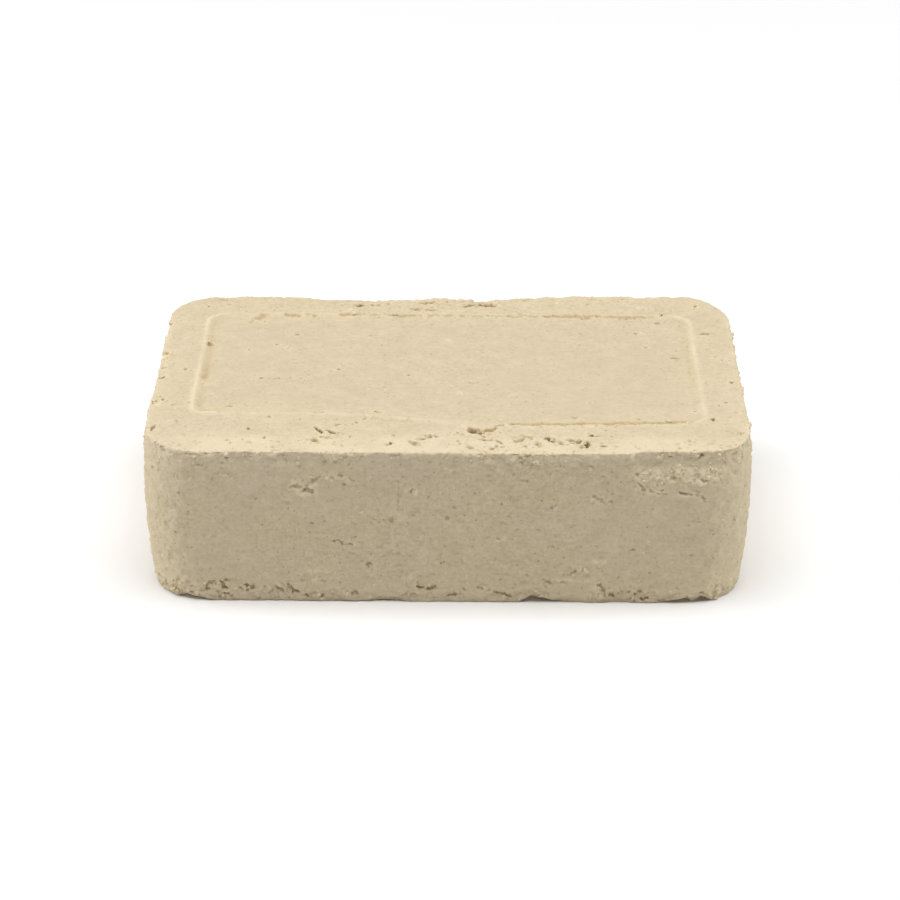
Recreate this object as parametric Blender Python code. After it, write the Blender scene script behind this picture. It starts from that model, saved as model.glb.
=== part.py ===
"""A block of sesame halva: a pressed slab with rounded upright corners and a panel outline on top.

The block stands on its flat base. X runs along its length, the front faces -Y and +Z is up, and
the origin is the centre of the base. Its skin is a stack of closed rings, which starts inside the
flat base, runs out under the foot, up the walls, over the top edge, across the margin and the
lip and groove of the pressed panel, and ends near the middle of the top.
"""

import math

import bmesh
import bpy

MM = 0.001

# The block
LENGTH = 145.9 * MM  # at mid height, as is the width
WIDTH = 82.4 * MM
HEIGHT = 42.1 * MM
CORNER_RADIUS = 14.0 * MM
END_FLARE = 1.3 * MM  # each end stands out this much more at the front than at mid width
END_BULGE = 0.5 * MM  # the ends draw in this much from mid height to the top and the foot
FOOT_TAPER = 1.3 * MM  # and this much more at the foot
LONG_WALL_SHARE = 0.2  # the front and the back draw in by this share of that
TOP_EDGE = 1.3 * MM  # rounding between the walls and the top
FOOT_EDGE = 0.8 * MM  # rounding between the walls and the base
BASE_MARGIN = 9.0 * MM  # the base is flat from this far inside its rim
SKIN_SWELL = 0.22 * MM  # slow unevenness of the pressed skin

# The pressed panel on the top
PANEL_LENGTH = 121.6 * MM
PANEL_WIDTH = 51.8 * MM
PANEL_CENTRE_Y = 4.2 * MM  # nearer the back edge than the front
PANEL_CORNER = 6.0 * MM
LIP_HEIGHT = 0.35 * MM
LIP_FOOT = 1.2 * MM  # from the crest of the lip out to the margin
GROOVE_DEPTH = 0.6 * MM
GROOVE_INSET = 1.3 * MM  # from the crest of the lip in to the bottom of the groove
GROOVE_END = 3.4 * MM  # from the crest of the lip in to the panel's field
FIELD_DEPTH = 0.2 * MM

# How finely each ring is divided
LONG_STEPS = 38
SHORT_STEPS = 16
ARC_STEPS = 7
EDGE_STEPS = 3
WALL_STEPS = 6

# Broken places: centre, reach of the soft falloff, and push at the centre
FRONT_Y = -WIDTH / 2
FRONT_HOLLOW = ((-34 * MM, FRONT_Y, 32.2 * MM), (5 * MM, 3 * MM, 2.4 * MM), (0, 1.2 * MM, 0))
CRUMBLED_BAND = ((58 * MM, FRONT_Y, 34.6 * MM), (13 * MM, 2.4 * MM, 2.6 * MM), (0, 0.6 * MM, 0))
TOP_CREVICE = ((8.3 * MM, -30.4 * MM, HEIGHT), (3.6 * MM, 2 * MM, 2 * MM), (0, 0, -1.2 * MM))
FOOT_NOTCHES = (  # place along the front foot, half length and rise
    (-63 * MM, 3.4 * MM, 1.0 * MM),
    (22 * MM, 4.6 * MM, 1.5 * MM),
    (58.5 * MM, 5.2 * MM, 1.3 * MM),
)
NOTCH_REACH = 2.5 * MM
NOTCH_PUSH = 0.5 * MM


def clear_scene():
    for item in list(bpy.data.objects):
        bpy.data.objects.remove(item, do_unlink=True)


def rounded_rectangle(half_x, half_y, radius, centre_y=0.0):
    """Points of a rounded rectangle, counter-clockwise, the same number for every size."""
    quarters = ((1, -1, SHORT_STEPS), (1, 1, LONG_STEPS), (-1, 1, SHORT_STEPS), (-1, -1, LONG_STEPS))
    arcs = []
    for turn, (side_x, side_y, _) in enumerate(quarters):
        start = math.radians(90 * (turn - 1))
        middle_x = side_x * (half_x - radius)
        middle_y = side_y * (half_y - radius)
        arc = []
        for step in range(ARC_STEPS + 1):
            angle = start + math.radians(90) * step / ARC_STEPS
            arc.append((middle_x + radius * math.cos(angle), middle_y + radius * math.sin(angle)))
        arcs.append(arc)
    points = []
    for turn, (_, _, side_steps) in enumerate(quarters):
        points += arcs[turn]
        first = arcs[turn][-1]
        last = arcs[(turn + 1) % 4][0]
        for step in range(1, side_steps):
            share = step / side_steps
            points.append(tuple(a + (b - a) * share for a, b in zip(first, last)))
    return [(x, y + centre_y) for x, y in points]


def block_ring(inset, height):
    """A ring of the outline drawn in by inset, at a height on the wall, edge or base."""
    drawn_in = END_BULGE * (1 - math.sin(math.pi * height / HEIGHT))
    drawn_in += FOOT_TAPER * (1 - height / HEIGHT) ** 2
    half_x = LENGTH / 2 - inset - drawn_in
    half_y = WIDTH / 2 - inset - drawn_in * LONG_WALL_SHARE
    points = rounded_rectangle(half_x, half_y, CORNER_RADIUS - inset)
    return [(x, y, height) for x, y in points]


def panel_ring(outset, height):
    """A ring that runs beside the crest of the panel's lip."""
    half_x = PANEL_LENGTH / 2 + outset
    half_y = PANEL_WIDTH / 2 + outset
    radius = max(PANEL_CORNER + outset, 0.8 * MM)
    points = rounded_rectangle(half_x, half_y, radius, PANEL_CENTRE_Y)
    return [(x, y, HEIGHT + height) for x, y in points]


def between(ring_a, ring_b, share):
    """A ring part of the way from one ring to another."""
    return [
        tuple(a + (b - a) * share for a, b in zip(point_a, point_b))
        for point_a, point_b in zip(ring_a, ring_b)
    ]


def block_rings():
    """Every ring of the skin, from inside the base to the middle of the top."""
    rings = [block_ring(BASE_MARGIN, 0.0)]
    for step in range(EDGE_STEPS + 1):
        angle = math.radians(90) * step / EDGE_STEPS
        inset = FOOT_EDGE * (1 - math.sin(angle))
        rings.append(block_ring(inset, FOOT_EDGE * (1 - math.cos(angle))))
    wall_height = HEIGHT - FOOT_EDGE - TOP_EDGE
    for step in range(1, WALL_STEPS):
        rings.append(block_ring(0.0, FOOT_EDGE + wall_height * step / WALL_STEPS))
    for step in range(EDGE_STEPS + 1):
        angle = math.radians(90) * step / EDGE_STEPS
        inset = TOP_EDGE * (1 - math.cos(angle))
        rings.append(block_ring(inset, HEIGHT - TOP_EDGE * (1 - math.sin(angle))))
    lip_foot = panel_ring(LIP_FOOT, 0.0)
    rings += [between(rings[-1], lip_foot, share) for share in (0.3, 0.65)]
    rings += [
        lip_foot,
        panel_ring(0.0, LIP_HEIGHT),
        panel_ring(-GROOVE_INSET, -GROOVE_DEPTH),
        panel_ring(-GROOVE_END, -FIELD_DEPTH),
    ]
    for share in (0.3, 0.6, 0.9):
        inset = GROOVE_END + (PANEL_WIDTH / 2 - GROOVE_END) * share
        rings.append(panel_ring(-inset, -FIELD_DEPTH * (1 - share)))
    return rings


def pushed(point, dent):
    """The point moved by a soft dent."""
    centre, reach, push = dent
    distance = sum(((p - c) / r) ** 2 for p, c, r in zip(point, centre, reach))
    share = math.exp(-distance)
    return tuple(p + move * share for p, move in zip(point, push))


def swell(x, y, z):
    """Slow unevenness of the skin, from -1 to 1."""
    long_wave = math.sin(x / (17 * MM) + 1.1) * math.cos(y / (13 * MM) - 0.4)
    short_wave = math.sin(x / (7.3 * MM) - y / (9.1 * MM) + z / (6.2 * MM))
    return 0.6 * long_wave + 0.4 * short_wave


def finished(point):
    """A ring point with the flare, the unevenness and the broken places added."""
    x, y, z = point
    x *= 1 - END_FLARE * (y / (WIDTH / 2)) / (LENGTH / 2)
    if z > 0:
        uneven = SKIN_SWELL * swell(x, y, z)
        wall_share = min(1.0, z / FOOT_EDGE) * (1.0 if z < HEIGHT - TOP_EDGE else 0.0)
        x -= abs(uneven) * wall_share * x / (LENGTH / 2)
        y -= abs(uneven) * wall_share * y / (WIDTH / 2)
        if z >= HEIGHT - TOP_EDGE:
            z -= abs(uneven)
    moved = (x, y, z)
    for dent in (FRONT_HOLLOW, CRUMBLED_BAND, TOP_CREVICE):
        moved = pushed(moved, dent)
    for place, half_length, rise in FOOT_NOTCHES:
        centre = (place, FRONT_Y, 0.0)
        reach = (half_length, NOTCH_REACH, NOTCH_REACH)
        moved = pushed(moved, (centre, reach, (0.0, NOTCH_PUSH, rise)))
    return moved


def halva_mesh():
    mesh = bpy.data.meshes.new("halva_block")
    shell = bmesh.new()
    rings = [[shell.verts.new(finished(point)) for point in ring] for ring in block_rings()]
    for lower, upper in zip(rings, rings[1:]):
        count = len(lower)
        for index in range(count):
            following = (index + 1) % count
            corners = (lower[index], lower[following], upper[following], upper[index])
            shell.faces.new(corners)
    base = shell.faces.new(list(reversed(rings[0])))
    crown = shell.faces.new(rings[-1])
    bmesh.ops.triangulate(shell, faces=[base, crown])
    bmesh.ops.triangulate(shell, faces=shell.faces[:])
    bmesh.ops.recalc_face_normals(shell, faces=shell.faces[:])
    shell.to_mesh(mesh)
    shell.free()
    mesh.shade_smooth()
    mesh.set_sharp_from_angle(angle=math.radians(50))
    return mesh


def halva_material():
    material = bpy.data.materials.new("sesame_halva")
    material.use_nodes = True
    shader = material.node_tree.nodes["Principled BSDF"]
    shader.inputs["Base Color"].default_value = (0.76, 0.64, 0.45, 1.0)
    shader.inputs["Roughness"].default_value = 0.72
    shader.inputs["Metallic"].default_value = 0.0
    return material


def main():
    clear_scene()
    mesh = halva_mesh()
    mesh.materials.append(halva_material())
    block = bpy.data.objects.new("halva_block", mesh)
    bpy.context.scene.collection.objects.link(block)


main()
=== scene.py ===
"""The looks of the sesame halva block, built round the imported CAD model.

The CAD block is replaced by one fine skin and by the crumbs that stick to it. A plain block of the
same form is voxel remeshed to an even grid, and its points are then moved: slow unevenness, the
pressed panel with its lip and groove, scraped grain, pores, cracks, crevices and crumbly edges are
all in the mesh, which is then thinned out where it is plain. What is finer than the grid is bump in
the material.
"""

import math

import bmesh
import bpy
import numpy as np
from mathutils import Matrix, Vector


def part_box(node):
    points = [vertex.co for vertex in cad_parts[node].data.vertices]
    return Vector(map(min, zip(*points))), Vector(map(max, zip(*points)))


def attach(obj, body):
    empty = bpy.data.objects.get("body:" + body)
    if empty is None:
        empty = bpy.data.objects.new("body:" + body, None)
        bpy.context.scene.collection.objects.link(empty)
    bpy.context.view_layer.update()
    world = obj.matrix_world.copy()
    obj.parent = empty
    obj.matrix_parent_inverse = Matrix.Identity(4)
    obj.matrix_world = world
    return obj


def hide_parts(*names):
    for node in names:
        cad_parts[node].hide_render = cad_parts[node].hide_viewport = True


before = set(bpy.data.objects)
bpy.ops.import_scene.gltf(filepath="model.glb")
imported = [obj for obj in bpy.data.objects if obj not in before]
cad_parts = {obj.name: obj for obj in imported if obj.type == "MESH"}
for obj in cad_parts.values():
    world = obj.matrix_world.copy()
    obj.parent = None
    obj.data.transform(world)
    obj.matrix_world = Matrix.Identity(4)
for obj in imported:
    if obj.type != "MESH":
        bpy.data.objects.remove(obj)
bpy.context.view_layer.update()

MM = 0.001
NODE = "halva_block"
BODY = "root"

# ---------------------------------------- sizes, from the frame
low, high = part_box(NODE)
CENTRE_X = (low.x + high.x) / 2
LIP_HEIGHT = 0.35 * MM  # the lip of the panel is the highest line of the block
HEIGHT = high.z - LIP_HEIGHT
WIDTH = high.y - low.y
END_FLARE = 1.3 * MM  # each end stands out this much more at the front than at mid width
LENGTH = high.x - low.x - 1.1 * END_FLARE  # at mid width
CORNER_RADIUS = 13.5 * MM
END_BULGE = 0.5 * MM
FOOT_TAPER = 1.3 * MM
LONG_WALL_SHARE = 0.2
TOP_EDGE = 0.6 * MM
FOOT_EDGE = 0.5 * MM
FRONT_Y = low.y

ARC_STEPS = 20  # how finely the plain block is divided, before it is remeshed
SIDE_STEP = 2.0 * MM
EDGE_STEPS = 6
WALL_STEPS = 10

PANEL_LENGTH = 123.4 * MM  # all panel sizes are of the lip's crest
PANEL_WIDTH = 52.2 * MM
PANEL_CENTRE_Y = 4.0 * MM
PANEL_BACK_CORNER = 5.0 * MM
PANEL_FRONT_CORNER = 3.0 * MM

BOX_ROOM = np.array((0.02, 0.02, 0.0)) * MM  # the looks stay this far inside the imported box
VOXEL = 0.26 * MM  # the grid that the skin is modelled on
FINAL_TRIANGLES = 196000  # of the skin
KEPT_DARKNESS = 0.2  # places darker than this keep the whole grid
CRUMBS = 2350

# Places on the top and the front are given in millimetres.
PLACES_FRONT_Y = -40.8  # where the front is in the places on the top
FRONT_SKIN = 0.35  # how far the front's skin lies behind the box's side


# ---------------------------------------- noise, in numpy
LARGEST = 0xFFFFFFFF
SEED_STEP, SEED_START = 2654435761, 97
AXIS_PRIMES = (73856093, 19349663, 83492791)
FIRST_MIX, SECOND_MIX = np.uint32(0x2C1B3C6D), np.uint32(0x297A2D39)
LONG_SHIFT, SHORT_SHIFT = np.uint32(15), np.uint32(12)


def hashed(cell, seed):
    """A number from 0 to 1 for each row of whole numbers, by mixing their bits."""
    mixed = np.full(len(cell), (seed * SEED_STEP + SEED_START) & LARGEST, np.uint32)
    for axis, prime in enumerate(AXIS_PRIMES):
        mixed ^= cell[:, axis].astype(np.int64).astype(np.uint32) * np.uint32(prime)
        mixed ^= mixed >> LONG_SHIFT
        mixed *= FIRST_MIX
        mixed ^= mixed >> SHORT_SHIFT
        mixed *= SECOND_MIX
    mixed ^= mixed >> LONG_SHIFT
    return mixed.astype(np.float64) / LARGEST


def smooth_noise(points, seed):
    """Smooth noise from -1 to 1, one cell per unit."""
    cell = np.floor(points).astype(np.int64)
    part = points - cell
    part = part**3 * (part * (part * 6 - 15) + 10)
    total = np.zeros(len(points))
    for corner in range(8):
        step = np.array([corner & 1, corner >> 1 & 1, corner >> 2 & 1])
        weight = np.prod(np.where(step, part, 1 - part), axis=1)
        total += weight * hashed(cell + step, seed)
    return total * 2 - 1


def layered_noise(points, size, layers, seed, fade=0.5):
    """Noise of several sizes, each half the last; size is the largest one's, in metres."""
    total = np.zeros(len(points))
    weight, weights = 1.0, 0.0
    for layer in range(layers):
        total += weight * smooth_noise(points * (2**layer / np.asarray(size)), seed + 31 * layer)
        weights += weight
        weight *= fade
    return total / weights


def nearest_seed(points, size, seed):
    """Distance to the nearest of a jittered grid of seeds, in cells, and that seed's own number."""
    scaled = points / np.asarray(size)
    cell = np.floor(scaled).astype(np.int64)
    best = np.full(len(points), np.inf)
    own = np.zeros(len(points))
    for index in range(27):
        step = np.array([index % 3 - 1, index // 3 % 3 - 1, index // 9 - 1])
        near = cell + step
        place = near + np.stack([hashed(near, seed + k) for k in range(3)], axis=1)
        distance = np.sqrt(((scaled - place) ** 2).sum(1))
        closer = distance < best
        best[closer] = distance[closer]
        own[closer] = hashed(near[closer], seed + 7)
    return best, own


def refolded(own, fold=37):
    """Another number from 0 to 1, made from a seed's own."""
    return own * fold % 1


def ramp(value, start, end):
    """0 before start, 1 after end, smooth between."""
    share = np.clip((value - start) / (end - start), 0, 1)
    return share * share * (3 - 2 * share)


def hump(value, centre, reach):
    """1 at the centre, fading to nothing over a few reaches."""
    return np.exp(-(((value - centre) / reach) ** 2))


# ---------------------------------------- meshes and objects
def added(name, data):
    """A new object in the scene."""
    item = bpy.data.objects.new(name, data)
    bpy.context.scene.collection.objects.link(item)
    return item


def apply_modifiers(piece):
    """The piece keeps its evaluated mesh and no modifiers."""
    graph = bpy.context.evaluated_depsgraph_get()
    done = bpy.data.meshes.new_from_object(piece.evaluated_get(graph))
    old = piece.data
    piece.modifiers.clear()
    piece.data = done
    bpy.data.meshes.remove(old)


def read_vectors(collection, name):
    values = np.empty(len(collection) * 3, np.float32)
    collection.foreach_get(name, values)
    return values.reshape(-1, 3).astype(np.float64)


def inside_the_box(points):
    """The points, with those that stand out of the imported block's box moved to its side."""
    return np.clip(points, np.array(low) + BOX_ROOM, np.array(high) - BOX_ROOM)


def move_points(mesh, points):
    mesh.vertices.foreach_set("co", points.astype(np.float32).ravel())
    mesh.update()


def write_shares(mesh, shares):
    """Named point attributes, from 0 to 1, that the material reads."""
    for name, values in shares.items():
        made = mesh.attributes.new(name, "FLOAT", "POINT")
        made.data.foreach_set("value", np.clip(values, 0, 1).astype(np.float32))


# ---------------------------------------- the plain block
def rounded_rectangle(half_x, half_y, radius):
    """Points of a rounded rectangle, counter-clockwise; sides are divided alike for any inset."""
    long_steps = int(LENGTH / SIDE_STEP)
    short_steps = int(WIDTH / SIDE_STEP)
    quarters = ((1, -1, short_steps), (1, 1, long_steps), (-1, 1, short_steps), (-1, -1, long_steps))
    points = []

    def on_corner(side_x, side_y, angle):
        x = side_x * (half_x - radius) + radius * math.cos(angle)
        return x, side_y * (half_y - radius) + radius * math.sin(angle)

    for turn, (side_x, side_y, steps) in enumerate(quarters):
        for step in range(ARC_STEPS + 1):
            angle = math.radians(90) * (turn - 1 + step / ARC_STEPS)
            points.append(on_corner(side_x, side_y, angle))
        next_x, next_y, _ = quarters[(turn + 1) % 4]
        end_x, end_y = on_corner(next_x, next_y, math.radians(90) * turn)
        first_x, first_y = points[-1]
        for step in range(1, steps):
            share = step / steps
            points.append((first_x + (end_x - first_x) * share, first_y + (end_y - first_y) * share))
    return points


def flare(y):
    """How much longer the block is at y than at mid width: the ends stand out towards the front."""
    return 1 - END_FLARE * (y / (WIDTH / 2)) / (LENGTH / 2)


def drawn_in(height):
    """How far the ends draw in at a height: the bulge and the foot's taper."""
    return END_BULGE * (1 - np.sin(math.pi * height / HEIGHT)) + FOOT_TAPER * (1 - height / HEIGHT) ** 2


def block_ring(inset, height):
    """The outline at a height, drawn in by inset, with the ends' bulge and flare."""
    half_x = LENGTH / 2 - inset - drawn_in(height)
    half_y = WIDTH / 2 - inset - drawn_in(height) * LONG_WALL_SHARE
    outline = rounded_rectangle(half_x, half_y, CORNER_RADIUS - inset)
    return [(x * flare(y) + CENTRE_X, y, height) for x, y in outline]


def plain_block():
    """A closed block: rings up the rounded foot, the walls and the rounded top edge, and two caps."""
    quarter_turn = [math.radians(90) * step / EDGE_STEPS for step in range(EDGE_STEPS + 1)]
    rings = []
    for angle in quarter_turn:
        height = FOOT_EDGE * (1 - math.cos(angle))
        rings.append(block_ring(FOOT_EDGE * (1 - math.sin(angle)), height))
    wall = HEIGHT - FOOT_EDGE - TOP_EDGE
    for step in range(1, WALL_STEPS):
        rings.append(block_ring(0.0, FOOT_EDGE + wall * step / WALL_STEPS))
    for angle in quarter_turn:
        height = HEIGHT - TOP_EDGE * (1 - math.sin(angle))
        rings.append(block_ring(TOP_EDGE * (1 - math.cos(angle)), height))
    shell = bmesh.new()
    made = [[shell.verts.new(point) for point in ring] for ring in rings]
    for lower, upper in zip(made, made[1:]):
        for index in range(len(lower)):
            following = (index + 1) % len(lower)
            shell.faces.new((lower[index], lower[following], upper[following], upper[index]))
    shell.faces.new(list(reversed(made[0])))
    shell.faces.new(made[-1])
    mesh = bpy.data.meshes.new("halva")
    shell.to_mesh(mesh)
    shell.free()
    return added("halva", mesh)


def remesh(piece):
    step = piece.modifiers.new("Even grid", "REMESH")
    step.mode = "VOXEL"
    step.voxel_size = VOXEL
    step.use_smooth_shade = True
    apply_modifiers(piece)


# ---------------------------------------- the skin
class Skin:
    """The points of the fine skin, how far each one moves, and how its paste is coloured there."""

    def __init__(self, piece):
        self.piece = piece
        self.at = read_vectors(piece.data.vertices, "co")
        self.normal = read_vectors(piece.data.vertex_normals, "vector")
        self.out = np.zeros(len(self.at))
        self.push = np.zeros_like(self.at)
        self.hollow_shade = np.zeros(len(self.at))  # painted shade: brown, deep in crevices, pores, gaps and the panel's groove
        self.warm = np.zeros(len(self.at))  # orange-brown: random stains on the top, and painted warm shade in cracks, pores, gaps and the panel's groove
        self.pale = np.zeros(len(self.at))  # pale crumbs, and painted highlight on the panel's lip, ridges and broken rims
        self.rough = np.zeros(len(self.at))  # how strong the mealy grain is
        self.crumbly = np.zeros(len(self.at))  # how thickly loose crumbs stick here
        self.pressed = np.zeros(len(self.at))  # the smoother, duller field of the panel
        up = self.normal[:, 2]
        self.top = ramp(up, 0.55, 0.9)
        self.base = ramp(-up, 0.4, 0.8) * (self.at[:, 2] < 3 * MM)
        self.wall = (1 - self.top) * (1 - self.base)
        self.warp = np.stack(
            [layered_noise(self.at, 1.9 * MM, 3, seed, 0.7) for seed in (11, 12, 13)], axis=1
        )

    def beside(self, path, reach):
        """The numbers of the points in a box that holds the path and reaches past it."""
        inside = (self.at > path.min(axis=0) - reach) & (self.at < path.max(axis=0) + reach)
        return np.nonzero(np.all(inside, axis=1))[0]

    def mark(self, name, values, where=slice(None)):
        """Raises one of the shares, and never lowers it."""
        share = getattr(self, name)
        share[where] = np.maximum(share[where], values)

    def finish(self):
        self.at += self.normal * (self.out * (1 - self.base))[:, None] + self.push
        self.at = inside_the_box(self.at)
        move_points(self.piece.data, self.at)
        names = ("hollow_shade", "warm", "pale", "rough", "pressed")
        write_shares(self.piece.data, {name: getattr(self, name) for name in names})


def outline_distance(at):
    """How far a point lies outside the block's outline, and the way straight out of it."""
    y = at[:, 1]
    x = (at[:, 0] - CENTRE_X) / flare(y)
    beside = np.stack([np.abs(x) - LENGTH / 2, np.abs(y) - WIDTH / 2], axis=1) + CORNER_RADIUS
    past = np.maximum(beside, 0)
    outside = np.linalg.norm(past, axis=1)
    way = past / np.maximum(outside, 1e-9)[:, None] * np.sign(np.stack([x, y], axis=1))
    return outside + np.minimum(beside.max(axis=1), 0) - CORNER_RADIUS, way


def slow_unevenness(skin):
    """The pressed skin is not flat: slow hollows, all of them inward, and a back edge that rises."""
    wave = layered_noise(skin.at, (30 * MM, 20 * MM, 20 * MM), 2, 3)
    skin.out -= (0.5 + 0.5 * wave) * 0.16 * MM
    x, y, _ = skin.at.T
    rise = 0.12 + 0.23 * ramp(x, 12 * MM, 24 * MM)
    skin.out += skin.top * ramp(y, 31 * MM, 38 * MM) * rise * MM
    # nothing stands higher than the lip may
    skin.out[skin.top > 0.5] = np.minimum(skin.out[skin.top > 0.5], LIP_HEIGHT)


def broken_edges(skin):
    """The top edge and the foot edge are bevelled and bitten, unevenly, and never undercut."""
    x, y, z = skin.at.T
    outside, way = outline_distance(skin.at)
    inside = np.maximum(-outside - drawn_in(z), 0)
    bites = ramp(layered_noise(skin.at, (7 * MM, 7 * MM, 4 * MM), 2, 83, 0.6), -0.1, 0.55)
    teeth = ramp(layered_noise(skin.at, 1.6 * MM, 2, 87, 0.7), -0.3, 0.5)
    # the back edge has crumbled away most in two stretches, and the left end a little
    back = ramp(y, 30 * MM, 38 * MM)
    dips = hump(x, -25 * MM, 14 * MM) + 0.75 * hump(x, 9 * MM, 5.5 * MM)
    dips += 0.3 * hump(x, -60 * MM, 14 * MM)
    bumps = 0.5 + 0.5 * layered_noise(skin.at, (5 * MM, 5 * MM, 30 * MM), 2, 89)
    left_end = ramp(-x, 60 * MM, 68 * MM) * ramp(y, -14.5 * MM, -11.5 * MM)
    left_end *= 1 - ramp(y, 24 * MM, 32 * MM)
    wide = back * (0.95 * dips + 0.35 * bumps * (1 - 0.8 * ramp(x, 14 * MM, 26 * MM)))
    wide += 0.45 * left_end * (0.6 + 0.8 * bumps)
    top_edge = HEIGHT - z + inside
    calm = 1 - 0.75 * ramp(x, 58 * MM, 66 * MM) - 0.5 * ramp(-x, 58 * MM, 66 * MM)
    narrow = 0.08 + (0.42 * bites + 0.16 * teeth) * calm
    amount = narrow * hump(top_edge, 0, 1.3 * MM) + wide * hump(top_edge, 0, 2.6 * MM)
    amount *= MM * (1 - skin.base)
    skin.push[:, :2] -= way * (0.7 * amount)[:, None]
    skin.push[:, 2] -= 0.7 * amount
    foot = (0.05 + 0.5 * bites + 0.25 * teeth) * hump(z + inside, 0, 1.2 * MM) * MM
    skin.push[:, :2] -= way * foot[:, None]
    skin.push[:, 2] += 0.5 * foot * (1 - skin.base)
    # the top edge is painted pale: the crumbs' own paleness, and painted highlight where the edge
    # catches light from above
    skin.mark("pale", hump(top_edge, 0, 1.5 * MM) * (0.25 + 0.5 * bites))
    skin.mark("rough", hump(top_edge, 0, 2.5 * MM))
    skin.mark("rough", hump(z, 0, 2.5 * MM) * skin.wall)
    loose = 0.16 * bites * hump(top_edge, 0, 1.4 * MM) + 0.3 * hump(z, 0.8 * MM, 1.2 * MM)
    skin.mark("crumbly", loose * (1 - skin.base))


def panel_distance(at):
    """How far a point of the top lies outside the crest of the panel's lip; inside is negative."""
    x, y, _ = at.T
    unflared = x / flare(y)
    # the front line swings forward in its right half
    swing = 4.9 * ramp(x, -32 * MM, 16 * MM) - 1.7 * ramp(x, 24 * MM, 61 * MM)
    y = y + swing * MM * ramp(-y, 2 * MM, 20 * MM)
    corner = PANEL_FRONT_CORNER + (PANEL_BACK_CORNER - PANEL_FRONT_CORNER) * ramp(y, 0, 10 * MM)
    beside_x = np.abs(unflared - CENTRE_X) - (PANEL_LENGTH / 2 - corner)
    beside_y = np.abs(y - PANEL_CENTRE_Y) - (PANEL_WIDTH / 2 - corner)
    outside = np.hypot(np.maximum(beside_x, 0), np.maximum(beside_y, 0))
    return outside + np.minimum(np.maximum(beside_x, beside_y), 0) - corner


def pressed_panel(skin):
    """The panel's lip and groove, of uneven strength, and its slightly sunk field."""
    away = panel_distance(skin.at) + skin.warp[:, 0] * 0.3 * MM
    x, y, _ = skin.at.T
    uneven = 0.75 + 0.6 * layered_noise(skin.at, 9 * MM, 2, 21)
    near_end = np.abs(x) > 56 * MM
    in_front = (y < -12 * MM) & ~near_end
    behind = (y > 22 * MM) & ~near_end
    deep_left = 1 + 1.1 * ramp(-x, 50 * MM, 56 * MM) * hump(y, 5 * MM, 13 * MM)
    front_lip = np.where(x < 0, 0.5, 0.2)
    front_groove = np.where(x < -22 * MM, 0.1, 0.6)
    lip_strength = uneven * np.where(in_front, front_lip, np.where(behind, 0.5, 1.0))
    groove_strength = uneven * np.where(in_front, front_groove, np.where(behind, 0.55, 1.0))
    lip = hump(away, 0.0, 0.65 * MM)
    groove = hump(away, -1.7 * MM, np.where(behind | in_front, 0.7 * MM, 0.95 * MM)) * deep_left
    groove = groove * (0.75 + 0.6 * layered_noise(skin.at, 2.4 * MM, 2, 25))
    skin.out += skin.top * (lip * lip_strength * 0.34 - groove * groove_strength * 0.42) * MM
    skin.out -= skin.top * ramp(-away, 1.0 * MM, 4.0 * MM) * 0.12 * MM
    # painted shade in the groove, orange-brown and a little brown; painted highlight on the lip's crest
    skin.mark("warm", skin.top * groove * groove_strength * 0.34)
    skin.mark("hollow_shade", skin.top * groove * groove_strength * 0.05)
    skin.mark("pale", skin.top * lip * lip_strength * 0.8)
    # the front margin is painted paler: its crumbs' own paleness, and painted highlight
    front_margin = ramp(-y, 31 * MM, 35.5 * MM)
    skin.mark("pale", skin.top * front_margin * 0.5 * ramp(uneven, 0.4, 0.9))
    patches = 0.3 * ramp(layered_noise(skin.at, 18 * MM, 2, 23), -0.1, 0.5)
    field = ramp(-away, 1.0 * MM, 8 * MM)
    skin.mark("pressed", skin.top * field)
    skin.mark("rough", skin.top * (0.62 - 0.36 * field + patches) + skin.wall * (0.7 + patches))


def scraped_grain(skin):
    """Fine relief: mealy everywhere, and faintly drawn out along X on the top."""
    streaks = layered_noise(skin.at, (7 * MM, 1.2 * MM, 1.2 * MM), 2, 41, 0.8)
    skin.out += streaks * skin.top * 0.009 * MM
    meal = layered_noise(skin.at + skin.warp * 0.3 * MM, 2.0 * MM, 3, 47, 0.85)
    skin.out += meal * (0.08 + 0.17 * skin.rough + 0.26 * skin.wall) * MM
    # slow dents of a few millimetres, mostly on the walls
    dents = ramp(layered_noise(skin.at, 5.5 * MM, 2, 49), 0.1, 0.6)
    skin.out -= dents * (0.05 + 0.17 * skin.wall) * MM


RIM_HEIGHT = 0.17  # of the crumbs round a crevice, in millimetres, at a rim of 1


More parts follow.
